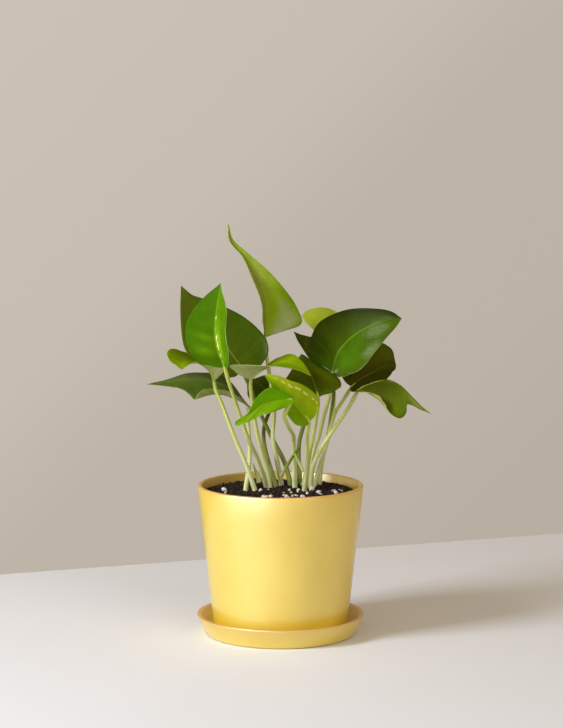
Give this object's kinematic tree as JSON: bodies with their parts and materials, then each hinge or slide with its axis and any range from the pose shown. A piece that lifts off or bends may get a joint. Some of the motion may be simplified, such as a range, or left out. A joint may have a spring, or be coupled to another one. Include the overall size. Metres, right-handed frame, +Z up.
{
  "type": "potted pothos plant",
  "caption": "Young pothos with heart-shaped leaves on long stalks, in a tapered glazed round pot of soil that stands on a matching saucer.",
  "frame": {"origin": "middle of the flat underside of the saucer", "axes": "+Z up along the pot's axis, -Y towards the side the plant is seen from, +X to the right seen from there"},
  "size_m": [0.2151, 0.1461, 0.3151],
  "materials": {
    "leaf_fresh": "waxy living leaf, fresh yellow-green, half gloss",
    "leaf_mid": "waxy living leaf, middle green, half gloss",
    "leaf_deep": "waxy living leaf, deep green, glossy",
    "leaf_olive": "waxy living leaf, olive green, half gloss",
    "leaf_pale": "thin living leaf lit from behind, pale green",
    "stalk_light": "smooth juicy leaf stalk, pale green",
    "stalk_dark": "smooth juicy leaf stalk, dark olive",
    "soil": "loose dark potting mix, rough",
    "glaze": "smooth warm yellow glaze"
  },
  "bodies": {
    "root": {"saucer": "glaze", "pot": "glaze", "soil": "soil", "leaf_top": "leaf_mid", "stalk_top": "stalk_light", "leaf_back_right": "leaf_pale", "stalk_back_right": "stalk_light", "leaf_glossy_right": "leaf_deep", "stalk_glossy_right": "stalk_light", "leaf_dark_left": "leaf_deep", "stalk_dark_left": "stalk_dark", "leaf_bright_left": "leaf_fresh", "stalk_bright_left": "stalk_light", "leaf_level_left": "leaf_olive", "stalk_level_left": "stalk_light", "leaf_middle": "leaf_fresh", "stalk_middle": "stalk_light", "leaf_olive_middle": "leaf_olive", "stalk_olive_middle": "stalk_light", "leaf_dark_right": "leaf_deep", "stalk_dark_right": "stalk_light", "leaf_drooping_right": "leaf_olive", "stalk_drooping_right": "stalk_light", "leaf_low_left": "leaf_mid", "stalk_low_left": "stalk_light", "leaf_back_middle": "leaf_deep", "stalk_back_middle": "stalk_dark", "leaf_small_front": "leaf_fresh", "stalk_small_front": "stalk_light", "leaf_speckled_front": "leaf_fresh", "stalk_speckled_front": "stalk_light", "leaf_pointed_back": "leaf_deep", "stalk_pointed_back": "stalk_dark"}
  },
  "joints": []
}
